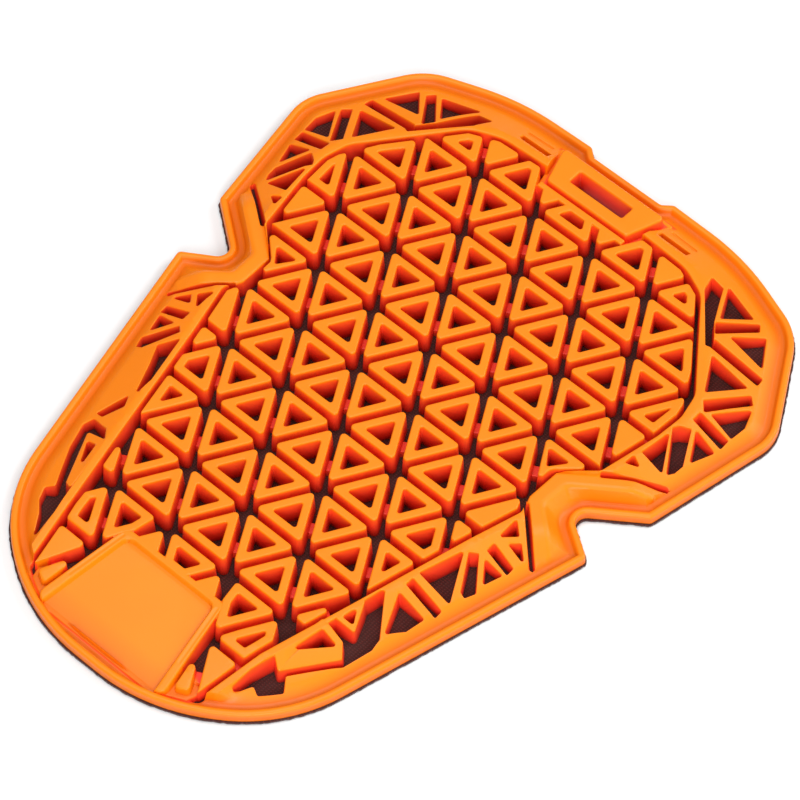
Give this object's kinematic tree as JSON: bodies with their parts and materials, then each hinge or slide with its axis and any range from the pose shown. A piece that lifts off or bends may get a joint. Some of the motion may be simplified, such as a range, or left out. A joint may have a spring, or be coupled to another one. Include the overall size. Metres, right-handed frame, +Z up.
{
  "type": "shoulder protector insert",
  "caption": "Flat soft shoulder pad of hollow triangular cells in a sloped pierced ring with a raised lip, side notches and a slotted tab, on a thin knitted backing.",
  "frame": {"origin": "under the middle of the pad, on the surface that it lies on", "axes": "+Y along the pad from the heel to the slotted tab, +X to the right seen from the cell side, +Z up out of the cell side"},
  "size_m": [0.1592, 0.1988, 0.0075],
  "materials": {
    "orange_elastomer": "satin, moulded in one piece",
    "dark_knit": "fine matt knit"
  },
  "bodies": {
    "root": {"moulded_pad": "orange_elastomer", "backing_fabric": "dark_knit"}
  },
  "joints": []
}
